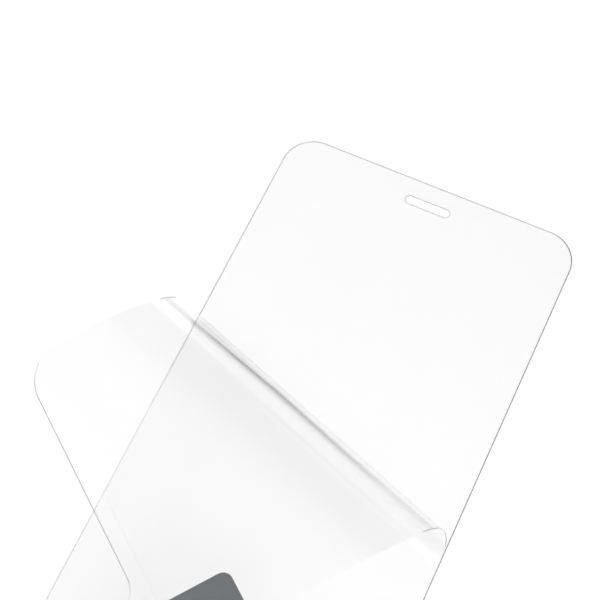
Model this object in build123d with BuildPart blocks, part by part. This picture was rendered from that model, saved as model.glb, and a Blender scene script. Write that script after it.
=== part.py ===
"""A clear glass screen protector with its clear release film peeled back from the top."""
import os
from math import cos, degrees, pi, radians, sin, tan

from build123d import *

os.makedirs("parts", exist_ok=True)

# pane of glass, touch face down
pane_width = 71.0
pane_length = 146.0
pane_thickness = 0.33
pane_corner = 7.4
touch_edge = 0.2

# speaker slot near the top edge of the pane
slot_length = 10.8
slot_width = 2.0
slot_from_top = 5.35

# release film, flush with the sides and the bottom of the pane
film_thickness = 0.10
film_width = pane_width
film_corner = 9.7
film_from_top = 7.7

# pull tab standing out from the right end of the film's top edge
tab_height = 12.0
tab_width = 13.2
tab_corner = 4.5
tab_fillet = 6.0

# label stuck on the tab and down into the film
label_thickness = 0.08
label_width = 8.8
label_below_top = 17.8
label_side_margin = 1.8
label_end_margin = 3.0
label_corner = 2.0

# curl where the film leaves the glass, and the gentle bend that eases it into the flap
fold_turn = radians(-18.2)
fold_from_top = 70.4
curl_radius = 6.65
curl_wrap = radians(158.0)
ease_radius = 45.0
ease_wrap = radians(19.5)

# lines and heights that follow from the sizes
top = pane_length / 2
film_top = top - film_from_top
film_length = pane_length - film_from_top
film_side = film_width / 2
film_middle = pane_thickness + film_thickness / 2
tab_side = film_side - tab_width
tab_top = film_top + tab_height
label_middle = tab_side + label_side_margin + label_width / 2
label_length = label_below_top + tab_height - label_end_margin
peel_y = top - fold_from_top
flap_turn = curl_wrap + ease_wrap
flap_y = peel_y + (curl_radius * curl_wrap + ease_radius * ease_wrap) / cos(fold_turn)
reach = 2 * pane_length

# directions: along the fold line, across it towards the top edge, and up
along_fold = Vector(cos(fold_turn), sin(fold_turn), 0)
across_fold = Vector(-sin(fold_turn), cos(fold_turn), 0)
up = Vector(0, 0, 1)


def run(turn):
    """Way the film runs, square to the fold, once it has turned this far."""
    return across_fold * cos(turn) + up * sin(turn)


def face(turn):
    """Way the film's upper face looks once it has turned this far."""
    return up * cos(turn) - across_fold * sin(turn)


def bend_path(start, turn, radius, wrap):
    """Helix that the film's middle line follows round a bend, because it meets the fold at a slant."""
    bend_axis = Plane(origin=start + face(turn) * radius, x_dir=-face(turn), z_dir=-along_fold)
    slant = tan(-fold_turn)
    return bend_axis.location * Helix(2 * pi * radius * slant, radius * wrap * slant, radius, lefthand=True)


def across_film(start, turn):
    """Plane of a cut through the film along the fold."""
    return Plane(origin=start, x_dir=along_fold, z_dir=run(turn))


# middle line of the film, from the peel line round the curl and the easing bend
curl_start = Vector(0, peel_y, film_middle)
curl_path = bend_path(curl_start, 0, curl_radius, curl_wrap)
ease_start = curl_path @ 1
ease_path = bend_path(ease_start, curl_wrap, ease_radius, ease_wrap)

# plane of the flap, with the film's own x and y carried round both bends
flap_x = along_fold * cos(fold_turn) - run(flap_turn) * sin(fold_turn)
flap_turned = Plane(origin=(0, 0, 0), x_dir=flap_x, z_dir=face(flap_turn))
flap_origin = ease_path @ 1 - flap_turned.from_local_coords(Vector(0, flap_y, 0))
flap_plane = Plane(origin=flap_origin, x_dir=flap_x, z_dir=face(flap_turn))

# glass pane with its speaker slot
with BuildPart() as glass_pane:
    with BuildSketch():
        RectangleRounded(pane_width, pane_length, pane_corner)
        with Locations((0, top - slot_from_top)):
            SlotOverall(slot_length, slot_width, mode=Mode.SUBTRACT)
    extrude(amount=pane_thickness)
    # touch face eased all round, slot too
    fillet(glass_pane.faces().sort_by(Axis.Z)[0].edges(), radius=touch_edge)
glass_pane.part.label = "glass_pane"

# flat pattern of the film with its tab
with BuildSketch() as film_pattern:
    with Locations((0, film_top - film_length / 2)):
        RectangleRounded(film_width, film_length, film_corner)
    # tab, running down past the film's own rounded corner
    with Locations((film_side, tab_top)):
        Rectangle(tab_width, tab_height + film_corner, align=(Align.MAX, Align.MAX))
    # rounded end of the tab and a soft root where it leaves the edge
    fillet(film_pattern.vertices().group_by(Axis.Y)[-1], radius=tab_corner)
    tab_root = film_pattern.vertices().sort_by_distance((tab_side, film_top))[0]
    fillet(tab_root, radius=tab_fillet)

# film: lying part, curl, easing bend and flap
with BuildPart() as release_liner:
    with BuildSketch(Plane.XY.offset(pane_thickness)):
        add(film_pattern.sketch)
        with Locations((0, peel_y)):
            Rectangle(
                reach, reach, rotation=degrees(fold_turn), align=(Align.CENTER, Align.MAX), mode=Mode.INTERSECT
            )
    extrude(amount=film_thickness)
    with BuildSketch(across_film(curl_start, 0)):
        Rectangle(film_width / cos(fold_turn), film_thickness)
    sweep(path=curl_path, is_frenet=True)
    with BuildSketch(across_film(ease_start, curl_wrap)):
        Rectangle(film_width / cos(fold_turn), film_thickness)
    sweep(path=ease_path, is_frenet=True)
    with BuildSketch(flap_plane):
        add(film_pattern.sketch)
        with Locations((0, flap_y)):
            Rectangle(
                reach, reach, rotation=degrees(fold_turn), align=(Align.CENTER, Align.MIN), mode=Mode.INTERSECT
            )
    extrude(amount=film_thickness / 2, both=True)
release_liner.part.label = "release_liner"

# label on the face of the film that was outermost before peeling
with BuildPart() as pull_tab_label:
    with BuildSketch(flap_plane.offset(film_thickness / 2)):
        with Locations((label_middle, tab_top - label_end_margin - label_length / 2)):
            RectangleRounded(label_width, label_length, label_corner)
    extrude(amount=label_thickness)
pull_tab_label.part.label = "pull_tab_label"

export_step(glass_pane.part, "parts/glass_pane.step")
export_step(release_liner.part, "parts/release_liner.step")
export_step(pull_tab_label.part, "parts/pull_tab_label.step")
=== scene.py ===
"""Dress the clear screen protector: polished pane, curled release film and plain grey label."""
import logging
import math
from contextlib import contextmanager
from dataclasses import dataclass
from enum import Enum, IntEnum
from typing import Callable, Iterator, Sequence

import bpy
from mathutils import Matrix, Vector


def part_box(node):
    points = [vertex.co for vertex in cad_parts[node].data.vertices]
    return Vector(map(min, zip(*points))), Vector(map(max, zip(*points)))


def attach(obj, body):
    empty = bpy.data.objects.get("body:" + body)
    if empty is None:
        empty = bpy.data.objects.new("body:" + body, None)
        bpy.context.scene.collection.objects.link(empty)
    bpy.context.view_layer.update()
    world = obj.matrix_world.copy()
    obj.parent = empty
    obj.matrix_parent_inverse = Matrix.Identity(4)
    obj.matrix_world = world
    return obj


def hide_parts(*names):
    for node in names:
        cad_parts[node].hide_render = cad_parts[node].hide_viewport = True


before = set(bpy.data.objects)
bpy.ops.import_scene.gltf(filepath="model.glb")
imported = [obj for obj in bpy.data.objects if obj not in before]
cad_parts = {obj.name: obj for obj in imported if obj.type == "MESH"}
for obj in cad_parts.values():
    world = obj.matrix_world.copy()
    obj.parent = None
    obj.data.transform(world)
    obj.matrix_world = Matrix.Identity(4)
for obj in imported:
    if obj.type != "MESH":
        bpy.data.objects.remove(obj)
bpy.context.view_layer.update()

LOG = logging.getLogger("screen_protector")
BODY = "root"
MM = 0.001

# Attribute of the film: each point's place on the flat film, along the fold and past the peel line, in mm.
BEND_PLACE = "bend_place"
# Degrees from the pane's X axis to the fold. The light of the room is laid out along the fold too.
FOLD_TURN = -18.2
# Faces that meet at less than this many degrees shade as one.
SMOOTH_ANGLE = 40.0
# Two millimetre values this close count as one.
SAME = 1e-4
# A point this near to a corner of the outline stands at it, in millimetres.
NEAR = 1e-3
# Bisect joins a cut to a point this near, in millimetres.
MERGE = 1e-6
# A face whose normal has more than this along an axis looks along it.
FACING = 0.9
# Faces that meet at less than this many degrees are one flat.
FLAT_ANGLE = 1.0
# Index of refraction of glass, and near enough of the label and the film's cut end.
PLAIN_IOR = 1.5

WHITE = (1.0, 1.0, 1.0, 1.0)
MULTIPLY = {"operation": "MULTIPLY"}
MULTIPLY_ADD = {"operation": "MULTIPLY_ADD"}
MAXIMUM = {"operation": "MAXIMUM"}
SMOOTHSTEP = {"interpolation_type": "SMOOTHSTEP"}
# A Mix node for colours takes its factor at socket 0 and its two colours at 6 and 7, and gives output 2.
MIX_COLOUR = {"data_type": "RGBA"}
MIXED = 2

Edge = bpy.types.MeshEdge
Piece = bpy.types.Object
Socket = bpy.types.NodeSocket
Tree = bpy.types.NodeTree
Stops = tuple[tuple[float, float], ...]


class Node(Enum):
    """Names of the solids that the pieces stand for."""

    PANE = "glass_pane"
    FILM = "release_liner"
    LABEL = "pull_tab_label"


class Part(Enum):
    """Kinds of mesh element that a selection can pick."""

    EDGE = "EDGE"
    FACE = "FACE"


class Axis(Enum):
    """Axes along which a finish can fade."""

    X = "X"
    Y = "Y"


class PaneSkin(IntEnum):
    """Finishes of the pane, in the order of its material slots."""

    POLISHED = 0
    EDGE = 1
    SLOT = 2


class FilmSkin(IntEnum):
    """Finishes of the film, in the order of its material slots."""

    CLEAR = 0
    CUT = 1
    SLIT = 2


def linear(hex_colour: str) -> tuple[float, float, float, float]:
    """Turn an sRGB hex colour into linear RGBA.

    Args:
        hex_colour: Colour such as "#71767A".

    Returns:
        Linear red, green, blue and an alpha of 1.
    """
    levels = [int(hex_colour[i : i + 2], 16) / 255 for i in (1, 3, 5)]
    red, green, blue = (v / 12.92 if v <= 0.04045 else ((v + 0.055) / 1.055) ** 2.4 for v in levels)
    return red, green, blue, 1.0


def add_node(tree: Tree, kind: str, settings: dict | None = None, **inputs: object) -> bpy.types.Node:
    """Add one node, set it up and link it.

    Args:
        tree: Tree that takes the node.
        kind: Shader node type, such as "Math".
        settings: Properties of the node itself.
        inputs: Input values or output sockets, by socket name with _ for a space, or by i and a number.

    Returns:
        The new node.
    """
    node = tree.nodes.new(f"ShaderNode{kind}")
    for name, value in (settings or {}).items():
        setattr(node, name, value)
    for name, value in inputs.items():
        number = name[1:]
        socket = node.inputs[int(number)] if number.isdigit() else node.inputs[name.replace("_", " ")]
        if isinstance(value, Socket):
            tree.links.new(value, socket)
        else:
            socket.default_value = value
    return node


def between(limits: tuple[float, float]) -> dict[str, float]:
    """Name the two ends of a range as a Map Range node has them."""
    return {"From_Min": limits[0], "From_Max": limits[1]}


def set_ramp(ramp: bpy.types.ColorRamp, stops: Sequence[tuple[float, float]]) -> None:
    """Fill a grey ramp.

    Args:
        ramp: Ramp with its first two stops.
        stops: Place from 0 to 1 and grey level of each stop, in order.
    """
    while len(ramp.elements) < len(stops):
        ramp.elements.new(0.5)
    for element, (where, level) in zip(ramp.elements, stops):
        element.position = where
        element.color = (level, level, level, 1)


class Bench:
    """Edit-mode handling shared by every piece. Pieces are shaped in millimetres and finished in metres."""

    @staticmethod
    def take(piece: Piece) -> None:
        """Select one piece alone, in object mode.

        Args:
            piece: Object to work on.
        """
        Bench.clear()
        piece.select_set(True)
        bpy.context.view_layer.objects.active = piece

    @staticmethod
    def clear() -> None:
        """Leave edit mode and deselect every object."""
        if bpy.context.object and bpy.context.object.mode != "OBJECT":
            bpy.ops.object.mode_set(mode="OBJECT")
        bpy.ops.object.select_all(action="DESELECT")

    @staticmethod
    def block(name: str, low: Vector, high: Vector) -> Piece:
        """Add a block between two corners, in millimetres.

        Args:
            name: Name of the piece.
            low: Lowest corner.
            high: Highest corner.

        Returns:
            The new object, still to be shaped.
        """
        Bench.clear()
        bpy.ops.mesh.primitive_cube_add(size=1, location=(0, 0, 0))
        piece = bpy.context.object
        piece.name = piece.data.name = name
        with Bench.editing(piece):
            bpy.ops.mesh.select_all(action="SELECT")
            bpy.ops.transform.resize(value=tuple(high - low), center_override=(0, 0, 0))
            bpy.ops.transform.translate(value=tuple((low + high) / 2))
        return piece

    @staticmethod
    @contextmanager
    def editing(piece: Piece) -> Iterator[None]:
        """Open a piece in edit mode, alone, and close it again.

        Args:
            piece: Object to edit.
        """
        Bench.take(piece)
        bpy.ops.object.mode_set(mode="EDIT")
        try:
            yield
        finally:
            bpy.ops.object.mode_set(mode="OBJECT")

    @staticmethod
    def pick(piece: Piece, part: Part, test: Callable[[object], bool]) -> None:
        """Select only the elements that pass a test. Called with the piece open in edit mode.

        Args:
            piece: Object being edited.
            part: Kind of element to test.
            test: Function of one element.
        """
        bpy.ops.mesh.select_mode(type=part.value)
        bpy.ops.mesh.select_all(action="DESELECT")
        bpy.ops.object.mode_set(mode="OBJECT")
        for element in piece.data.edges if part is Part.EDGE else piece.data.polygons:
            element.select = bool(test(element))
        bpy.ops.object.mode_set(mode="EDIT")

    @staticmethod
    def ends(piece: Piece, edge: Edge) -> tuple[Vector, Vector]:
        """Places of an edge's two ends."""
        first, second = edge.vertices
        return piece.data.vertices[first].co, piece.data.vertices[second].co

    @staticmethod
    def upright(piece: Piece, edge: Edge) -> bool:
        """Tell whether an edge stands upright."""
        first, second = Bench.ends(piece, edge)
        return (first - second).xy.length < SAME

    @staticmethod
    def at_height(piece: Piece, edge: Edge, height: float) -> bool:
        """Tell whether an edge lies at a height."""
        return all(abs(end.z - height) < SAME for end in Bench.ends(piece, edge))

    @staticmethod
    def round_upright(piece: Piece, radius: float, steps: int) -> None:
        """Round the upright edges of a block.

        Args:
            piece: Block to round.
            radius: Radius in millimetres.
            steps: Faces in each round.
        """
        with Bench.editing(piece):
            Bench.pick(piece, Part.EDGE, lambda e: Bench.upright(piece, e))
            bpy.ops.mesh.bevel(offset=radius, segments=steps, affect="EDGES", clamp_overlap=False)

    @staticmethod
    def ease(piece: Piece, height: float, width: float, steps: int) -> None:
        """Ease the edges that lie at one height.

        Args:
            piece: Object to ease.
            height: Height of the edges in millimetres.
            width: Width of the bevel.
            steps: Faces across it.
        """
        with Bench.editing(piece):
            Bench.pick(piece, Part.EDGE, lambda e: Bench.at_height(piece, e, height))
            bpy.ops.mesh.bevel(offset=width, segments=steps, affect="EDGES")

    @staticmethod
    def cut(piece: Piece, cutter: Piece) -> None:
        """Take a cutter's shape out of a piece, and remove the cutter.

        Args:
            piece: Object that is cut.
            cutter: Object that goes.
        """
        Bench.take(piece)
        modifier = piece.modifiers.new("cut", "BOOLEAN")
        modifier.operation = "DIFFERENCE"
        modifier.solver = "EXACT"
        modifier.object = cutter
        bpy.ops.object.modifier_apply(modifier=modifier.name)
        bpy.data.objects.remove(cutter)

    @staticmethod
    def finish(piece: Piece) -> None:
        """Bring a piece from millimetres to metres and shade its round stretches smooth.

        Args:
            piece: Shaped object.
        """
        Bench.take(piece)
        piece.scale = (MM, MM, MM)
        bpy.ops.object.transform_apply(location=True, rotation=True, scale=True)
        bpy.ops.object.shade_smooth_by_angle(angle=math.radians(SMOOTH_ANGLE))


@dataclass(frozen=True)
class Finish:
    """A finish, named for its material and for how the surface was made."""

    name: str

    def make(self) -> bpy.types.Material:
        """Build the material.

        Returns:
            The new material.
        """
        material = bpy.data.materials.new(self.name)
        material.use_nodes = True
        tree = material.node_tree
        tree.nodes.clear()
        add_node(tree, "OutputMaterial", Surface=self.surface(tree))
        return material

    def surface(self, tree: Tree) -> Socket:
        """Add the nodes of the surface, which each kind of finish has of its own.

        Args:
            tree: Empty tree of the material.

        Returns:
            The surface shader.
        """
        raise NotImplementedError(self.name)


@dataclass(frozen=True)
class PaintedFoldShade:
    """Painted shade on a bent film: a dark line along the curl, and a wider painted shadow beside it
    towards one end.

    Each list pairs a place in millimetres with a value. Places along the fold count from the pane's
    middle, and places across the line count from it, with plus towards the flap.

    Attributes:
        course: Distance of the line past the peel line, along the fold.
        across: Share of the painted shade across the line.
        strength: Depth of the painted shade along the fold.
        painted_shadow_across: Share across the line of a wider painted shadow.
        painted_shadow_strength: Depth of that painted shadow along the fold.
        tint: Colour of the painted shade at its deepest.
    """

    course: Stops
    across: Stops
    strength: Stops
    painted_shadow_across: Stops
    painted_shadow_strength: Stops
    tint: str

    def depth(self, tree: Tree) -> Socket:
        """Add the nodes that say how deep the painted shade is.

        Args:
            tree: Tree of the film's material.

        Returns:
            A value from 0 on clear film to 1.
        """
        flat = add_node(tree, "Attribute", {"attribute_name": BEND_PLACE})
        part = add_node(tree, "SeparateXYZ", Vector=flat.outputs["Vector"])
        along = part.outputs["X"]
        line = self.curve(tree, along, self.course)
        off = add_node(tree, "Math", {"operation": "SUBTRACT"}, i0=part.outputs["Y"], i1=line).outputs[0]
        # Painted shadow on the outer side of the line.
        painted_shadow = add_node(
            tree,
            "Math",
            MULTIPLY,
            i0=self.curve(tree, off, self.painted_shadow_across),
            i1=self.curve(tree, along, self.painted_shadow_strength),
        )
        # The dark line of painted shade, plus that painted shadow.
        depth = add_node(
            tree,
            "Math",
            MULTIPLY_ADD,
            i0=self.curve(tree, off, self.across),
            i1=self.curve(tree, along, self.strength),
            i2=painted_shadow.outputs[0],
        )
        return depth.outputs[0]

    @staticmethod
    def curve(tree: Tree, place: Socket, stops: Stops) -> Socket:
        """Add the nodes of a value that runs through some stops.

        Args:
            tree: Tree of the material.
            place: Place in millimetres.
            stops: Place and value of each stop.

        Returns:
            The value at the place.
        """
        low, high = stops[0][0], stops[-1][0]
        peak = max(value for _, value in stops)
        share = add_node(tree, "MapRange", Value=place, **between((low, high)))
        ramp = add_node(tree, "ValToRGB", Fac=share.outputs["Result"])
        set_ramp(ramp.color_ramp, [((where - low) / (high - low), value / peak) for where, value in stops])
        return add_node(tree, "Math", MULTIPLY, i0=ramp.outputs["Color"], i1=peak).outputs[0]


@dataclass(frozen=True)
class ClearSheet(Finish):
    """A clear sheet that light passes through, with the faint streaks that drawing leaves in it.

    Attributes:
        tint: What the sheet passes between streaks.
        streak_tint: What it passes in a streak.
        streak_mm: Size of a streak along the two axes of the sheet.
        ior: Index of refraction.
        shade: What it lets through to the surfaces around it.
        bend: Painted shade along the curl of a bent sheet.
        thin: Whether the sheet is too thin to bend what is seen through it.
    """

    tint: str
    streak_tint: str
    streak_mm: tuple[float, float]
    ior: float
    shade: str
    bend: PaintedFoldShade | None = None
    thin: bool = False

    def surface(self, tree: Tree) -> Socket:
        """Add a mirror-smooth clear surface that casts almost no shadow.

        Args:
            tree: Empty tree of the material.

        Returns:
            The surface shader.
        """
        body = self.streaks(tree)
        shade = linear(self.shade)
        # A bent sheet gets painted shade along its curl, both in what it shows and in what it lets through.
        if self.bend:
            depth = self.bend.depth(tree)
            painted_dark = linear(self.bend.tint)
            body, shade = (
                add_node(tree, "Mix", MIX_COLOUR, i0=depth, i6=plain, i7=painted_dark).outputs[MIXED]
                for plain in (body, shade)
            )
        seen = add_node(
            tree,
            "BsdfPrincipled",
            Base_Color=body,
            Roughness=0.0,
            IOR=1.0 if self.thin else self.ior,
            Transmission_Weight=1.0,
            Coat_Weight=1.0 if self.thin else 0.0,
            Coat_IOR=self.ior,
            Coat_Roughness=0.0,
        )
        passed = add_node(tree, "BsdfTransparent", Color=shade)
        path = add_node(tree, "LightPath").outputs
        lighting = add_node(tree, "Math", MAXIMUM, i0=path["Is Shadow Ray"], i1=path["Is Diffuse Ray"])
        sheet = add_node(
            tree, "MixShader", i0=lighting.outputs[0], i1=seen.outputs["BSDF"], i2=passed.outputs["BSDF"]
        )
        return sheet.outputs["Shader"]

    def streaks(self, tree: Tree) -> Socket:
        """Add the nodes of the streaks. On a bent sheet they follow it round the bend.

        Args:
            tree: Tree of the material.

        Returns:
            The sheet's colour.
        """
        if self.bend:
            place = add_node(tree, "Attribute", {"attribute_name": BEND_PLACE}).outputs["Vector"]
            unit = 1.0
        else:
            place = add_node(tree, "TexCoord").outputs["Object"]
            unit = MM
        scale = (1 / (self.streak_mm[0] * unit), 1 / (self.streak_mm[1] * unit), 0)
        drawn = add_node(tree, "Mapping", Vector=place, Scale=scale)
        noise = add_node(tree, "TexNoise", Vector=drawn.outputs["Vector"], Scale=1.0, Detail=1.0)
        colour = add_node(
            tree,
            "Mix",
            MIX_COLOUR,
            i0=noise.outputs["Fac"],
            i6=linear(self.tint),
            i7=linear(self.streak_tint),
        )
        return colour.outputs[MIXED]


@dataclass(frozen=True)
class Fade:
    """A second colour that a finish fades into along one axis, between two places in millimetres."""

    axis: Axis
    start_mm: float
    end_mm: float
    colour: str


@dataclass(frozen=True)
class GroundEdge(Finish):
    """A ground or cut edge: fine pits scatter the light, so a narrow rim reads as a thin grey line.

    Attributes:
        colour: Colour of the rim.
        pit_tint: What a pit leaves of that colour.
        roughness: Roughness of the surface.
        clearness: Share of the light that goes through.
        grit_mm: Size of a pit.
        bump: Strength of the pits' relief.
        bump_mm: Depth of the pits.
        fades: Colours that the rim fades into, one over the other.
    """

    colour: str
    roughness: float
    clearness: float
    grit_mm: float = 0.25
    pit_tint: str = "#F4F4F4"
    bump: float = 0.2
    bump_mm: float = 0.03
    fades: tuple[Fade, ...] = ()

    def surface(self, tree: Tree) -> Socket:
        """Add a pitted surface that lets some light through.

        Args:
            tree: Empty tree of the material.

        Returns:
            The surface shader.
        """
        place = add_node(tree, "TexCoord").outputs["Object"]
        scale = 1 / (self.grit_mm * MM)
        grit = add_node(tree, "TexNoise", Vector=place, Scale=scale, Detail=2.0).outputs["Fac"]
        relief = add_node(tree, "Bump", Strength=self.bump, Distance=self.bump_mm * MM, Height=grit)
        part = add_node(tree, "SeparateXYZ", Vector=place)
        colour = linear(self.colour)
        for fade in self.fades:
            ends = between((fade.start_mm * MM, fade.end_mm * MM))
            amount = add_node(tree, "MapRange", SMOOTHSTEP, Value=part.outputs[fade.axis.value], **ends)
            colour = add_node(
                tree, "Mix", MIX_COLOUR, i0=amount.outputs["Result"], i6=colour, i7=linear(fade.colour)
            ).outputs[MIXED]
        pitted = add_node(
            tree,
            "Mix",
            MIX_COLOUR | {"blend_type": "MULTIPLY"},
            i0=grit,
            i6=colour,
            i7=linear(self.pit_tint),
        )
        rim = add_node(
            tree,
            "BsdfPrincipled",
            Base_Color=pitted.outputs[MIXED],
            Roughness=self.roughness,
            IOR=PLAIN_IOR,
            Transmission_Weight=self.clearness,
            Normal=relief.outputs["Normal"],
        )
        return rim.outputs["BSDF"]


@dataclass(frozen=True)
class MattLabel(Finish):
    """A sticker that was calendered and coated matt.

    Attributes:
        colour: Colour on top of the grain.
        grain_colour: Colour in the grain.
        grain_mm: Size of the grain.
        roughness: Roughness of the coat.
        bump: Strength of the grain's relief.
        bump_mm: Depth of the grain.
    """

    colour: str
    grain_colour: str
    grain_mm: float = 0.25
    roughness: float = 0.6
    bump: float = 0.1
    bump_mm: float = 0.02

    def surface(self, tree: Tree) -> Socket:
        """Add a matt grained surface.

        Args:
            tree: Empty tree of the material.

        Returns:
            The surface shader.
        """
        place = add_node(tree, "TexCoord").outputs["Object"]
        scale = 1 / (self.grain_mm * MM)
        grain = add_node(tree, "TexNoise", Vector=place, Scale=scale, Detail=3.0).outputs["Fac"]
        colour = add_node(
            tree, "Mix", MIX_COLOUR, i0=grain, i6=linear(self.colour), i7=linear(self.grain_colour)
        )
        relief = add_node(tree, "Bump", Strength=self.bump, Distance=self.bump_mm * MM, Height=grain)
        vinyl = add_node(
            tree,
            "BsdfPrincipled",
            Base_Color=colour.outputs[MIXED],
            Roughness=self.roughness,
            IOR=PLAIN_IOR,
            Normal=relief.outputs["Normal"],
        )
        return vinyl.outputs["BSDF"]


@dataclass(frozen=True)
class TableTop(Finish):
    """A matt table that shows white to the eye and still takes a soft shadow.

    Attributes:
        colour: Colour that is lit by the room.
        lift: Even light that is added where the table is seen, plainly, mirrored or through a clear sheet.
    """

    colour: str
    lift: float

    def surface(self, tree: Tree) -> Socket:
        """Add a matt surface that is lifted to white where it is seen.

        Args:
            tree: Empty tree of the material.

        Returns:
            The surface shader.
        """
        path = add_node(tree, "LightPath").outputs
        seen = path["Is Camera Ray"]
        for ray in ("Is Glossy Ray", "Is Transmission Ray"):
            seen = add_node(tree, "Math", MAXIMUM, i0=seen, i1=path[ray]).outputs[0]
        lift = add_node(tree, "Math", MULTIPLY, i0=seen, i1=self.lift)
        top = add_node(
            tree,
            "BsdfPrincipled",
            Base_Color=linear(self.colour),
            Roughness=1.0,
            Specular_IOR_Level=0.0,
            Emission_Color=WHITE,
            Emission_Strength=lift.outputs[0],
        )
        return top.outputs["BSDF"]


# Float glass, polished: the eye gets a faint mirror image off each face and no colour. Its draw lines,
# about 9 mm apart, only make the pane a trace uneven.
GLASS = ClearSheet(
    name="float_glass_polished",
    tint="#FEFEFE",
    streak_tint="#FCFCFC",
    streak_mm=(9.0, 70.0),
    ior=PLAIN_IOR,
    shade="#FFFFFF",
)
# The ground rim of the pane: a hairline of grey with painted light and shade. Painted shade makes it
# darkest at the far right, and painted light makes it paler at the top and lets it die away at the near
# end.
# The pits of this and the other cut edges are 0.25 mm, coarser than real grit, so that they show.
GLASS_EDGE = GroundEdge(
    name="float_glass_ground_edge",
    colour="#DADBDC",
    roughness=0.45,
    clearness=0.05,
    fades=(
        Fade(Axis.Y, 28, -8, "#FFFFFF"),
        Fade(Axis.Y, 66, 72, "#E1E2E3"),
        Fade(Axis.X, 27, 34.5, "#A5A7A8"),
    ),
)
# The milled rim of the slot: clearer and paler, so the slot has a soft outline.
GLASS_SLOT = GroundEdge(name="float_glass_milled_slot", colour="#EEEFEF", roughness=0.45, clearness=0.35)
# Painted shade along the curl of the film: a soft dark line, deepest left of its middle, with a faint
# painted shadow on the outer side at its left end.
PAINTED_FOLD_SHADE = PaintedFoldShade(
    course=((-43, 17.5), (-30, 16.85), (-11, 16.0), (10, 16.15), (32, 15.6)),
    across=(
        (-3.2, 0.0), (-1.2, 0.12), (-0.75, 0.22), (-0.36, 0.64), (0.0, 1.0),
        (0.33, 0.6), (0.64, 0.32), (1.2, 0.08), (1.9, 0.0),
    ),
    strength=(
        (-43, 0.06), (-36, 0.1), (-34, 0.36), (-22, 0.53),
        (-11, 0.58), (10, 0.36), (20, 0.2), (32, 0.22),
    ),
    painted_shadow_across=((-7.0, 0.0), (-3.0, 1.0), (-1.2, 1.0), (-0.3, 0.0)),
    painted_shadow_strength=((-35.5, 0.0), (-33.5, 0.115), (-22, 0.062), (-11, 0.015), (3, 0.0)),
    tint="#000000",
)
# Polyester film, drawn: as clear as the glass, but too thin to bend what is seen through it. The eye gets
# the mirror image off its faces, strongest along the curl, and a trace of die lines, about 5 mm apart.
FILM = ClearSheet(
    name="polyester_film_drawn",
    tint="#FFFFFF",
    streak_tint="#FDFDFD",
    streak_mm=(60.0, 5.0),
    ior=1.47,
    shade="#FEFEFE",
    # Painted shade along the curl.
    bend=PAINTED_FOLD_SHADE,
    thin=True,
)
# The die-cut end of the film: a crisp grey line that fades out at the flap's corner and by the tab's root.
FILM_CUT = GroundEdge(
    name="polyester_film_die_cut_edge",
    colour="#D2D3D4",
    roughness=0.5,
    clearness=0.2,
    fades=(
        Fade(Axis.X, -51.5, -55.3, "#FFFFFF"),
        Fade(Axis.Y, -37.3, -39.8, "#FFFFFF"),
        Fade(Axis.Y, -43, -48, "#D2D3D4"),
    ),
)
# The slit sides of the film: cleaner than the die-cut end, so they show only as pale hooks at the curl.
FILM_SLIT = GroundEdge(
    name="polyester_film_slit_edge",
    colour="#EEEFEF",
    roughness=0.4,
    clearness=0.5,
    fades=(Fade(Axis.X, 0, -30, "#F2F2F3"),),
)
# Vinyl, calendered and coated matt: an even cool grey without gloss. Its grain of 0.25 mm is coarser than
# the real one, so that it shows.
LABEL = MattLabel(name="vinyl_label_matt", colour="#5B6064", grain_colour="#575C60")
# White laminate: a plain table that is as white as the room behind it.
TABLE = TableTop(name="white_laminate_matt", colour="#BCBCBC", lift=0.592)


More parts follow.
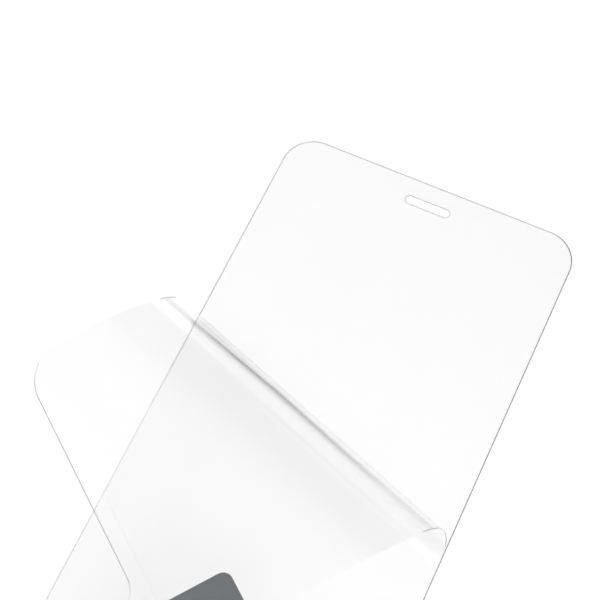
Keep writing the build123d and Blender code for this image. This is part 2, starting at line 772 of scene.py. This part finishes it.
@dataclass
class GlassPane:
    """The glass: a rounded sheet with a speaker slot and an eased touch face. Sizes in millimetres.

    Attributes:
        corner: Radius of the pane's corners.
        slot_length: Length of the slot.
        slot_width: Width of the slot.
        slot_from_top: Distance of the slot's middle from the top edge.
        slot_round: Share of half the slot's width that rounds its ends, with a short flat left.
        touch_edge: Width of the eased edge on the touch face.
        top_edge: Width of the broken edge on the adhesive face.
        rim_slope: Least and most of the normal's height on an eased edge.
        corner_steps: Faces in each round corner.
        edge_steps: Faces across the eased edge.
        top_steps: Faces across the broken edge.
    """

    corner: float = 7.4
    slot_length: float = 10.8
    slot_width: float = 2.0
    slot_from_top: float = 5.35
    slot_round: float = 0.999
    touch_edge: float = 0.20
    top_edge: float = 0.03
    rim_slope: tuple[float, float] = (0.15, 0.9999)
    corner_steps: int = 24
    edge_steps: int = 4
    top_steps: int = 1

    def __post_init__(self) -> None:
        """Take the outside sizes from the solid."""
        self.low, self.high = (Vector(corner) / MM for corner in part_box(Node.PANE.value))
        self.slot_y = self.high.y - self.slot_from_top

    def build(self) -> Piece:
        """Model the pane.

        Returns:
            The finished object.
        """
        pane = Bench.block("glass_sheet", self.low, self.high)
        Bench.round_upright(pane, self.corner, self.corner_steps)
        Bench.cut(pane, self.slot_cutter())
        Bench.ease(pane, self.low.z, self.touch_edge, self.edge_steps)
        Bench.ease(pane, self.high.z, self.top_edge, self.top_steps)
        Bench.finish(pane)
        return pane

    def slot_cutter(self) -> Piece:
        """Make the stadium-shaped block that cuts the slot.

        Returns:
            The block, taller than the pane on both sides.
        """
        middle = Vector((0, self.slot_y, self.high.z / 2))
        half = Vector((self.slot_length / 2, self.slot_width / 2, 2 * self.high.z))
        cutter = Bench.block("slot_cutter", middle - half, middle + half)
        Bench.round_upright(cutter, self.slot_width / 2 * self.slot_round, self.corner_steps)
        return cutter

    def in_slot(self, place: Vector) -> bool:
        """Tell whether a point in metres lies in or by the slot."""
        across = abs(place.y / MM - self.slot_y)
        return abs(place.x / MM) < self.slot_length and across < self.slot_width

    def dress(self, pane: Piece) -> None:
        """Give the faces and the upright walls polished glass, and the eased rims ground glass.

        Args:
            pane: Finished object.
        """
        for finish in (GLASS, GLASS_EDGE, GLASS_SLOT):
            pane.data.materials.append(finish.make())
        least, most = self.rim_slope
        for face in pane.data.polygons:
            slope = abs(face.normal.z)
            face.use_smooth = slope < most
            if least < slope < most:
                face.material_index = PaneSkin.SLOT if self.in_slot(face.center) else PaneSkin.EDGE
        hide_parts(Node.PANE.value)
        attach(pane, BODY)


@dataclass
class FilmFold:
    """How the film leaves the glass: a tight curl, an easing bend and a flat flap. Millimetres, degrees.

    Attributes:
        turn: Turn of the fold from the pane's X axis.
        peel_y: Where the peel line crosses the pane's middle.
        curl_radius: Radius of the curl.
        curl_wrap: How far the curl turns.
        ease_radius: Radius of the easing bend.
        ease_wrap: How far the easing bend turns.
        curl_steps: Faces round the curl.
        ease_steps: Faces round the easing bend.
    """

    turn: float = FOLD_TURN
    peel_y: float = 2.6
    curl_radius: float = 6.65
    curl_wrap: float = 158.0
    ease_radius: float = 45.0
    ease_wrap: float = 19.5
    curl_steps: int = 158
    ease_steps: int = 26

    def __post_init__(self) -> None:
        """Work out directions and arc lengths."""
        angle = math.radians(self.turn)
        self.along = Vector((math.cos(angle), math.sin(angle), 0))
        self.across = Vector((-math.sin(angle), math.cos(angle), 0))
        self.peel = Vector((0, self.peel_y, 0))
        self.curl_end = self.curl_radius * math.radians(self.curl_wrap)
        self.ease_end = self.curl_end + self.ease_radius * math.radians(self.ease_wrap)

    def distance(self, flat: Vector) -> float:
        """How far a point of the flat film lies past the peel line."""
        return (flat - self.peel).dot(self.across)

    def cuts(self) -> list[float]:
        """Work out where the film is divided for bending.

        Returns:
            Distances past the peel line.
        """
        curl = [self.curl_end * i / self.curl_steps for i in range(self.curl_steps + 1)]
        step = (self.ease_end - self.curl_end) / self.ease_steps
        ease = [self.curl_end + step * i for i in range(1, self.ease_steps + 1)]
        return [-step, *curl, *ease, self.ease_end + step]

    def profile(self, run: float) -> tuple[float, float, float]:
        """Follow the middle of the film past the peel line.

        Args:
            run: Distance along the film.

        Returns:
            Distance across the fold, height, and how far the film has turned in radians.
        """
        if run <= 0:
            return run, 0.0, 0.0
        turn = min(run, self.curl_end) / self.curl_radius
        across = self.curl_radius * math.sin(turn)
        height = self.curl_radius * (1 - math.cos(turn))
        if run > self.curl_end:
            start = turn
            turn += (min(run, self.ease_end) - self.curl_end) / self.ease_radius
            across += self.ease_radius * (math.sin(turn) - math.sin(start))
            height += self.ease_radius * (math.cos(start) - math.cos(turn))
        rest = max(run - self.ease_end, 0.0)
        return across + rest * math.cos(turn), height + rest * math.sin(turn), turn

    def place(self, flat: Vector, middle: float) -> Vector:
        """Carry a point of the flat film to its place on the folded film.

        Args:
            flat: Point of the flat film, with its height.
            middle: Height of the middle of the flat film.

        Returns:
            The point's place.
        """
        across, height, turn = self.profile(self.distance(flat))
        proud = flat.z - middle
        level = self.along * (flat - self.peel).dot(self.along)
        out = self.across * (across - proud * math.sin(turn))
        return self.peel + level + out + Vector((0, 0, middle + height + proud * math.cos(turn)))


@dataclass
class ReleaseFilm:
    """The peeled film, cut flat with its tab and then folded. Sizes in millimetres.

    Attributes:
        fold: How the film is folded.
        thickness: Thickness of the film.
        corner: Radius of the film's corners.
        from_top: Distance of the film's top edge from the pane's.
        tab_height: How far the tab stands out of the top edge.
        tab_width: Width of the tab.
        tab_corner: Radius of the tab's corners.
        tab_root: Radius of the fillet at the tab's root.
        rim: Width of the rim that has the finish of the cut edge.
        cut_lean: How far round the top left corner the die-cut finish goes, in degrees.
        slit_from: Distance past the peel line where the slit finish starts, on the left and on the right.
        clearance: Gap between glass and film.
        corner_steps: Faces in each round corner.
    """

    fold: FilmFold
    thickness: float = 0.10
    corner: float = 9.7
    from_top: float = 7.7
    tab_height: float = 12.0
    tab_width: float = 13.2
    tab_corner: float = 4.5
    tab_root: float = 6.0
    rim: float = 0.18
    cut_lean: float = 48.0
    slit_from: tuple[float, float] = (14.5, 6.0)
    clearance: float = 0.01
    corner_steps: int = 24

    def __post_init__(self) -> None:
        """Take the outside sizes from the pane."""
        low, high = (Vector(corner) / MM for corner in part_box(Node.PANE.value))
        self.low = Vector((low.x, low.y, high.z + self.clearance))
        self.high = Vector((high.x, high.y - self.from_top, high.z + self.clearance + self.thickness))
        self.middle = (self.low.z + self.high.z) / 2
        self.tab_side = self.high.x - self.tab_width
        self.tab_top = self.high.y + self.tab_height

    def build(self) -> Piece:
        """Model the film.

        Returns:
            The finished object.
        """
        film = Bench.block("release_film", self.low, self.high)
        self.draw_tab(film)
        self.round_corners(film)
        self.mark_rim(film)
        self.divide(film)
        self.note_places(film)
        for point in film.data.vertices:
            point.co = self.fold.place(point.co.copy(), self.middle)
        Bench.finish(film)
        return film

    def draw_tab(self, film: Piece) -> None:
        """Pull the tab out of the right end of the top edge.

        Args:
            film: Flat block.
        """
        with Bench.editing(film):
            bpy.ops.mesh.select_all(action="SELECT")
            bpy.ops.mesh.bisect(plane_co=(self.tab_side, 0, 0), plane_no=(1, 0, 0), threshold=MERGE)
            Bench.pick(film, Part.FACE, lambda f: f.normal.y > FACING and f.center.x > self.tab_side)
            bpy.ops.mesh.extrude_region_move(TRANSFORM_OT_translate={"value": (0, self.tab_height, 0)})
            bpy.ops.mesh.select_all(action="SELECT")
            bpy.ops.mesh.dissolve_limited(angle_limit=math.radians(FLAT_ANGLE))

    def round_corners(self, film: Piece) -> None:
        """Round the film's corners, the end of the tab and the tab's root.

        Args:
            film: Flat film with its tab.
        """
        plan = [
            (self.corner, [(self.low.x, self.high.y), (self.low.x, self.low.y), (self.high.x, self.low.y)]),
            (self.tab_corner, [(self.tab_side, self.tab_top), (self.high.x, self.tab_top)]),
            (self.tab_root, [(self.tab_side, self.high.y)]),
        ]
        with Bench.editing(film):
            for radius, places in plan:
                Bench.pick(film, Part.EDGE, lambda e, spots=places: self.stands_at(film, e, spots))
                bpy.ops.mesh.bevel(
                    offset=radius, segments=self.corner_steps, affect="EDGES", clamp_overlap=False
                )

    @staticmethod
    def stands_at(film: Piece, edge: Edge, places: Sequence[tuple[float, float]]) -> bool:
        """Tell whether an upright edge stands at one of some places."""
        foot = Bench.ends(film, edge)[0].xy
        return Bench.upright(film, edge) and any((foot - Vector(place)).length < NEAR for place in places)

    def mark_rim(self, film: Piece) -> None:
        """Inset both faces, so that the cut edge has a narrow rim, and note the finish of every face.

        Args:
            film: Flat film with its round corners.
        """
        with Bench.editing(film):
            Bench.pick(film, Part.FACE, lambda f: abs(f.normal.z) > FACING)
            bpy.ops.mesh.inset(thickness=self.rim, use_individual=True)
        for finish in (FILM, FILM_CUT, FILM_SLIT):
            film.data.materials.append(finish.make())
        for face in film.data.polygons:
            face.material_index = FilmSkin.CLEAR if face.select else self.rim_skin(face.center)

    def rim_skin(self, place: Vector) -> FilmSkin:
        """Tell a rim face of the die-cut end from one of a slit side.

        Args:
            place: Middle of the face on the flat film.

        Returns:
            The finish of the face.
        """
        right = place.x - (self.low.x + self.corner)
        back = place.y - (self.high.y - self.corner)
        lean = math.degrees(math.atan2(-right, back)) if right < 0 < back else 0.0
        at_end = back > 0 and lean < self.cut_lean and place.x < self.high.x - self.rim
        return FilmSkin.CUT if at_end else FilmSkin.SLIT

    def divide(self, film: Piece) -> None:
        """Divide the film along the fold, and clear the slit sides where they don't catch the light.

        Args:
            film: Flat film with its rim.
        """
        across = self.fold.across
        with Bench.editing(film):
            for cut in self.fold.cuts():
                place = self.fold.peel + across * cut
                bpy.ops.mesh.select_all(action="SELECT")
                bpy.ops.mesh.bisect(plane_co=tuple(place), plane_no=tuple(across), threshold=MERGE)
        for face in film.data.polygons:
            start = self.slit_from[face.center.x > 0]
            on_curl = start < self.fold.distance(face.center) < self.fold.curl_end
            if face.material_index == FilmSkin.SLIT and not on_curl:
                face.material_index = FilmSkin.CLEAR

    def note_places(self, film: Piece) -> None:
        """Note where each point lies on the flat film, for the finishes that follow the fold.

        Args:
            film: Flat film, divided.
        """
        places = film.data.attributes.new(BEND_PLACE, "FLOAT_VECTOR", "POINT")
        for point, place in zip(film.data.vertices, places.data):
            off = point.co - self.fold.peel
            place.vector = (off.dot(self.fold.along), off.dot(self.fold.across), 0)

    def dress(self, film: Piece) -> None:
        """Put the film on its body in place of its solid.

        Args:
            film: Finished object.
        """
        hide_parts(Node.FILM.value)
        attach(film, BODY)


@dataclass
class PullTabLabel:
    """The grey sticker under the folded flap. Sizes in millimetres.

    Attributes:
        film: Film that carries it.
        thickness: Thickness of the label.
        width: Width of the label.
        below_top: How far the label reaches below the film's top edge.
        side_margin: Distance from the side of the tab.
        end_margin: Distance from the end of the tab.
        corner: Radius of the label's corners.
        edge: Width of the broken edge on its face.
        clearance: Gap between film and label.
        corner_steps: Faces in each round corner.
        edge_steps: Faces across the broken edge.
    """

    film: ReleaseFilm
    thickness: float = 0.08
    width: float = 8.8
    below_top: float = 17.8
    side_margin: float = 1.8
    end_margin: float = 3.0
    corner: float = 2.0
    edge: float = 0.03
    clearance: float = 0.01
    corner_steps: int = 16
    edge_steps: int = 2

    def build(self) -> Piece:
        """Model the label flat on the film's outer face, then carry it round with the film.

        Returns:
            The finished object.
        """
        film = self.film
        left = film.tab_side + self.side_margin
        base = film.high.z + self.clearance
        low = Vector((left, film.high.y - self.below_top, base))
        high = Vector((left + self.width, film.tab_top - self.end_margin, base + self.thickness))
        label = Bench.block("pull_tab_sticker", low, high)
        Bench.round_upright(label, self.corner, self.corner_steps)
        Bench.ease(label, high.z, self.edge, self.edge_steps)
        for point in label.data.vertices:
            point.co = film.fold.place(point.co.copy(), film.middle)
        Bench.finish(label)
        return label

    def dress(self, label: Piece) -> None:
        """Give the sticker its matt grey and put it on its body.

        Args:
            label: Finished object.
        """
        label.data.materials.append(LABEL.make())
        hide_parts(Node.LABEL.value)
        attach(label, BODY)


@dataclass
class Room:
    """The soft light of the room, which shows white to the eye and is mirrored by glass and film.

    It is laid out by tilt, the sine of the angle from straight up towards the back, across the fold.

    Attributes:
        turn: Turn of the fold, in degrees.
        glow: Light at each tilt.
        glow_lean: How much brighter it is to the right.
        horizon: Heights between which the room darkens downwards.
        horizon_level: Share of the light that is left at the horizon.
        window: Light of the window on the right.
        window_edge: Places to the right between which the window begins.
        window_sill: Heights between which the window begins.
        strip: Light of the bright strip low at the back.
        strip_edge: Tilts between which the strip begins.
        strip_end: Tilts between which it ends.
        strip_end_lean: How the tilt of its end changes to the right.
        strip_lean: How the light of the strip changes to the right.
        strip_most: Most that this change may make of it.
    """

    turn: float = FOLD_TURN
    glow: Stops = (
        (-0.8, 0.6),
        (-0.55, 1.9),
        (-0.3, 1.9),
        (-0.15, 0.95),
        (0.0, 1.12),
        (0.1, 1.15),
        (0.37, 0.4),
        (0.44, 0.08),
        (0.5, 0.0),
    )
    glow_lean: float = 0.8
    horizon: tuple[float, float] = (0.3, 0.62)
    horizon_level: float = 0.3
    window: float = 1.6
    window_edge: tuple[float, float] = (0.45, 0.70)
    window_sill: tuple[float, float] = (0.4, 0.65)
    strip: float = 1.35
    strip_edge: tuple[float, float] = (0.735, 0.776)
    strip_end: tuple[float, float] = (0.885, 0.988)
    strip_end_lean: float = -0.3
    strip_lean: float = -1.6
    strip_most: float = 1.6

    def build(self) -> None:
        """Light the room: pale overhead, dark at the back but for a low strip, a window on the right."""
        world = bpy.data.worlds.new("studio_room")
        bpy.context.scene.world = world
        world.use_nodes = True
        tree = world.node_tree
        tree.nodes.clear()
        way = add_node(tree, "TexCoord").outputs["Generated"]
        part = add_node(tree, "SeparateXYZ", Vector=way)
        right, height = part.outputs["X"], part.outputs["Z"]
        tilt = self.tilt(tree, way, height)
        light = self.overhead(tree, tilt, right, height)
        for lamp in (self.side_window(tree, right, height), self.back_strip(tree, tilt, right)):
            light = add_node(tree, "AddShader", i0=light, i1=lamp).outputs["Shader"]
        path = add_node(tree, "LightPath")
        wall = add_node(tree, "Background", Color=WHITE, Strength=1.0)
        sight = add_node(
            tree, "MixShader", i0=path.outputs["Is Camera Ray"], i1=light, i2=wall.outputs["Background"]
        )
        add_node(tree, "OutputWorld", Surface=sight.outputs["Shader"])

    def tilt(self, tree: Tree, way: Socket, height: Socket) -> Socket:
        """Add the nodes that work out the tilt of a direction.

        Args:
            tree: Tree of the world.
            way: Direction.
            height: How far it points up.

        Returns:
            The tilt, from -1 at the front to 1 at the back.
        """
        angle = math.radians(self.turn)
        across = (-math.sin(angle), math.cos(angle), 0)
        back = add_node(tree, "VectorMath", {"operation": "DOT_PRODUCT"}, i0=way, i1=across)
        reach = add_node(tree, "CombineXYZ", X=back.outputs["Value"], Y=height)
        length = add_node(tree, "VectorMath", {"operation": "LENGTH"}, i0=reach.outputs["Vector"])
        tilt = add_node(
            tree, "Math", {"operation": "DIVIDE"}, i0=back.outputs["Value"], i1=length.outputs["Value"]
        )
        return tilt.outputs[0]

    def overhead(self, tree: Tree, tilt: Socket, right: Socket, height: Socket) -> Socket:
        """Add the nodes of the pale light overhead.

        Args:
            tree: Tree of the world.
            tilt: Tilt of the direction.
            right: How far it points to the right.
            height: How far it points up.

        Returns:
            The light.
        """
        share = add_node(tree, "Math", MULTIPLY_ADD, i0=tilt, i1=0.5, i2=0.5)
        ramp = add_node(tree, "ValToRGB", Fac=share.outputs[0])
        peak = max(level for _, level in self.glow)
        set_ramp(ramp.color_ramp, [((where + 1) / 2, level / peak) for where, level in self.glow])
        lean = add_node(tree, "Math", MULTIPLY_ADD, i0=right, i1=self.glow_lean * peak, i2=peak)
        ends = between(self.horizon)
        rise = add_node(tree, "MapRange", SMOOTHSTEP, Value=height, To_Min=self.horizon_level, **ends)
        level = add_node(tree, "Math", MULTIPLY, i0=lean.outputs[0], i1=rise.outputs["Result"])
        light = add_node(tree, "Background", Color=ramp.outputs["Color"], Strength=level.outputs[0])
        return light.outputs["Background"]

    def side_window(self, tree: Tree, right: Socket, height: Socket) -> Socket:
        """Add the nodes of the wide window on the right.

        Args:
            tree: Tree of the world.
            right: How far a direction points to the right.
            height: How far it points up.

        Returns:
            The light.
        """
        ends = between(self.window_edge)
        edge = add_node(tree, "MapRange", SMOOTHSTEP, Value=right, To_Max=self.window, **ends)
        sill = add_node(tree, "MapRange", SMOOTHSTEP, Value=height, **between(self.window_sill))
        level = add_node(tree, "Math", MULTIPLY, i0=edge.outputs["Result"], i1=sill.outputs["Result"])
        light = add_node(tree, "Background", Color=WHITE, Strength=level.outputs[0])
        return light.outputs["Background"]

    def back_strip(self, tree: Tree, tilt: Socket, right: Socket) -> Socket:
        """Add the nodes of the bright strip low at the back.

        Args:
            tree: Tree of the world.
            tilt: Tilt of a direction.
            right: How far it points to the right.

        Returns:
            The light.
        """
        ends = between(self.strip_edge)
        edge = add_node(tree, "MapRange", SMOOTHSTEP, Value=tilt, To_Max=self.strip, **ends)
        low = add_node(tree, "Math", MULTIPLY_ADD, i0=right, i1=self.strip_end_lean, i2=tilt)
        ends = between(self.strip_end)
        end = add_node(tree, "MapRange", SMOOTHSTEP, Value=low.outputs[0], To_Min=1.0, To_Max=0.0, **ends)
        slope = add_node(tree, "Math", MULTIPLY_ADD, i0=right, i1=self.strip_lean, i2=1.0)
        lean = add_node(tree, "Clamp", Value=slope.outputs[0], Max=self.strip_most)
        level = edge.outputs["Result"]
        for share in (lean.outputs[0], end.outputs["Result"]):
            level = add_node(tree, "Math", MULTIPLY, i0=level, i1=share).outputs[0]
        light = add_node(tree, "Background", Color=WHITE, Strength=level)
        return light.outputs["Background"]


@dataclass
class Studio:
    """White table, soft room and the camera. Lengths in metres, lens and sensor in millimetres.

    Attributes:
        room: Light of the room.
        table_size: Side of the table.
        table_drop: How far the table lies below the pane.
        eye: Where the camera stands.
        gaze: Where it looks.
        upward: Its upward direction.
        lens: Focal length.
        sensor: Width of the sensor.
        centre_px: Where the line of sight meets the picture, in pixels from its top left.
        image_px: Side of the picture in pixels.
        clip: Nearest and farthest distance that is seen.
    """

    room: Room
    table_size: float = 4.0
    table_drop: float = 0.00002
    eye: tuple[float, float, float] = (0.048696, -0.055484, 0.250817)
    gaze: tuple[float, float, float] = (-0.15094, 0.27707, -0.94892)
    upward: tuple[float, float, float] = (-0.3879, 0.86633, 0.31465)
    lens: float = 73.609
    sensor: float = 36.0
    centre_px: tuple[float, float] = (371.55, 411.82)
    image_px: float = 600.0
    clip: tuple[float, float] = (0.01, 10.0)

    def build(self) -> None:
        """Set up table, light and camera."""
        self.lay_table()
        self.room.build()
        self.place_camera()
        bpy.context.scene.view_settings.view_transform = "Standard"

    def lay_table(self) -> None:
        """Lay the white table."""
        Bench.clear()
        bpy.ops.mesh.primitive_plane_add(size=self.table_size, location=(0, 0, -self.table_drop))
        table = bpy.context.object
        table.name = "white_table"
        table.data.materials.append(TABLE.make())

    def place_camera(self) -> None:
        """Stand the camera where the photograph was taken from."""
        camera = bpy.data.cameras.new("camera")
        stand = bpy.data.objects.new("camera", camera)
        bpy.context.scene.collection.objects.link(stand)
        gaze = Vector(self.gaze).normalized()
        right = gaze.cross(Vector(self.upward)).normalized()
        turn = Matrix((right, right.cross(gaze), -gaze)).transposed()
        stand.matrix_world = Matrix.Translation(self.eye) @ turn.to_4x4()
        camera.lens = self.lens
        camera.sensor_width = self.sensor
        camera.shift_x = 0.5 - self.centre_px[0] / self.image_px
        camera.shift_y = self.centre_px[1] / self.image_px - 0.5
        camera.clip_start, camera.clip_end = self.clip
        bpy.context.scene.camera = stand


def main() -> None:
    """Build the pieces in order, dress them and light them."""
    logging.basicConfig(level=logging.INFO, format="%(name)s: %(message)s")
    film_maker = ReleaseFilm(FilmFold())
    for maker in (GlassPane(), film_maker, PullTabLabel(film_maker)):
        piece = maker.build()
        maker.dress(piece)
        LOG.info("%s: %d faces", piece.name, len(piece.data.polygons))
    Studio(Room()).build()


if __name__ == "__main__":
    main()
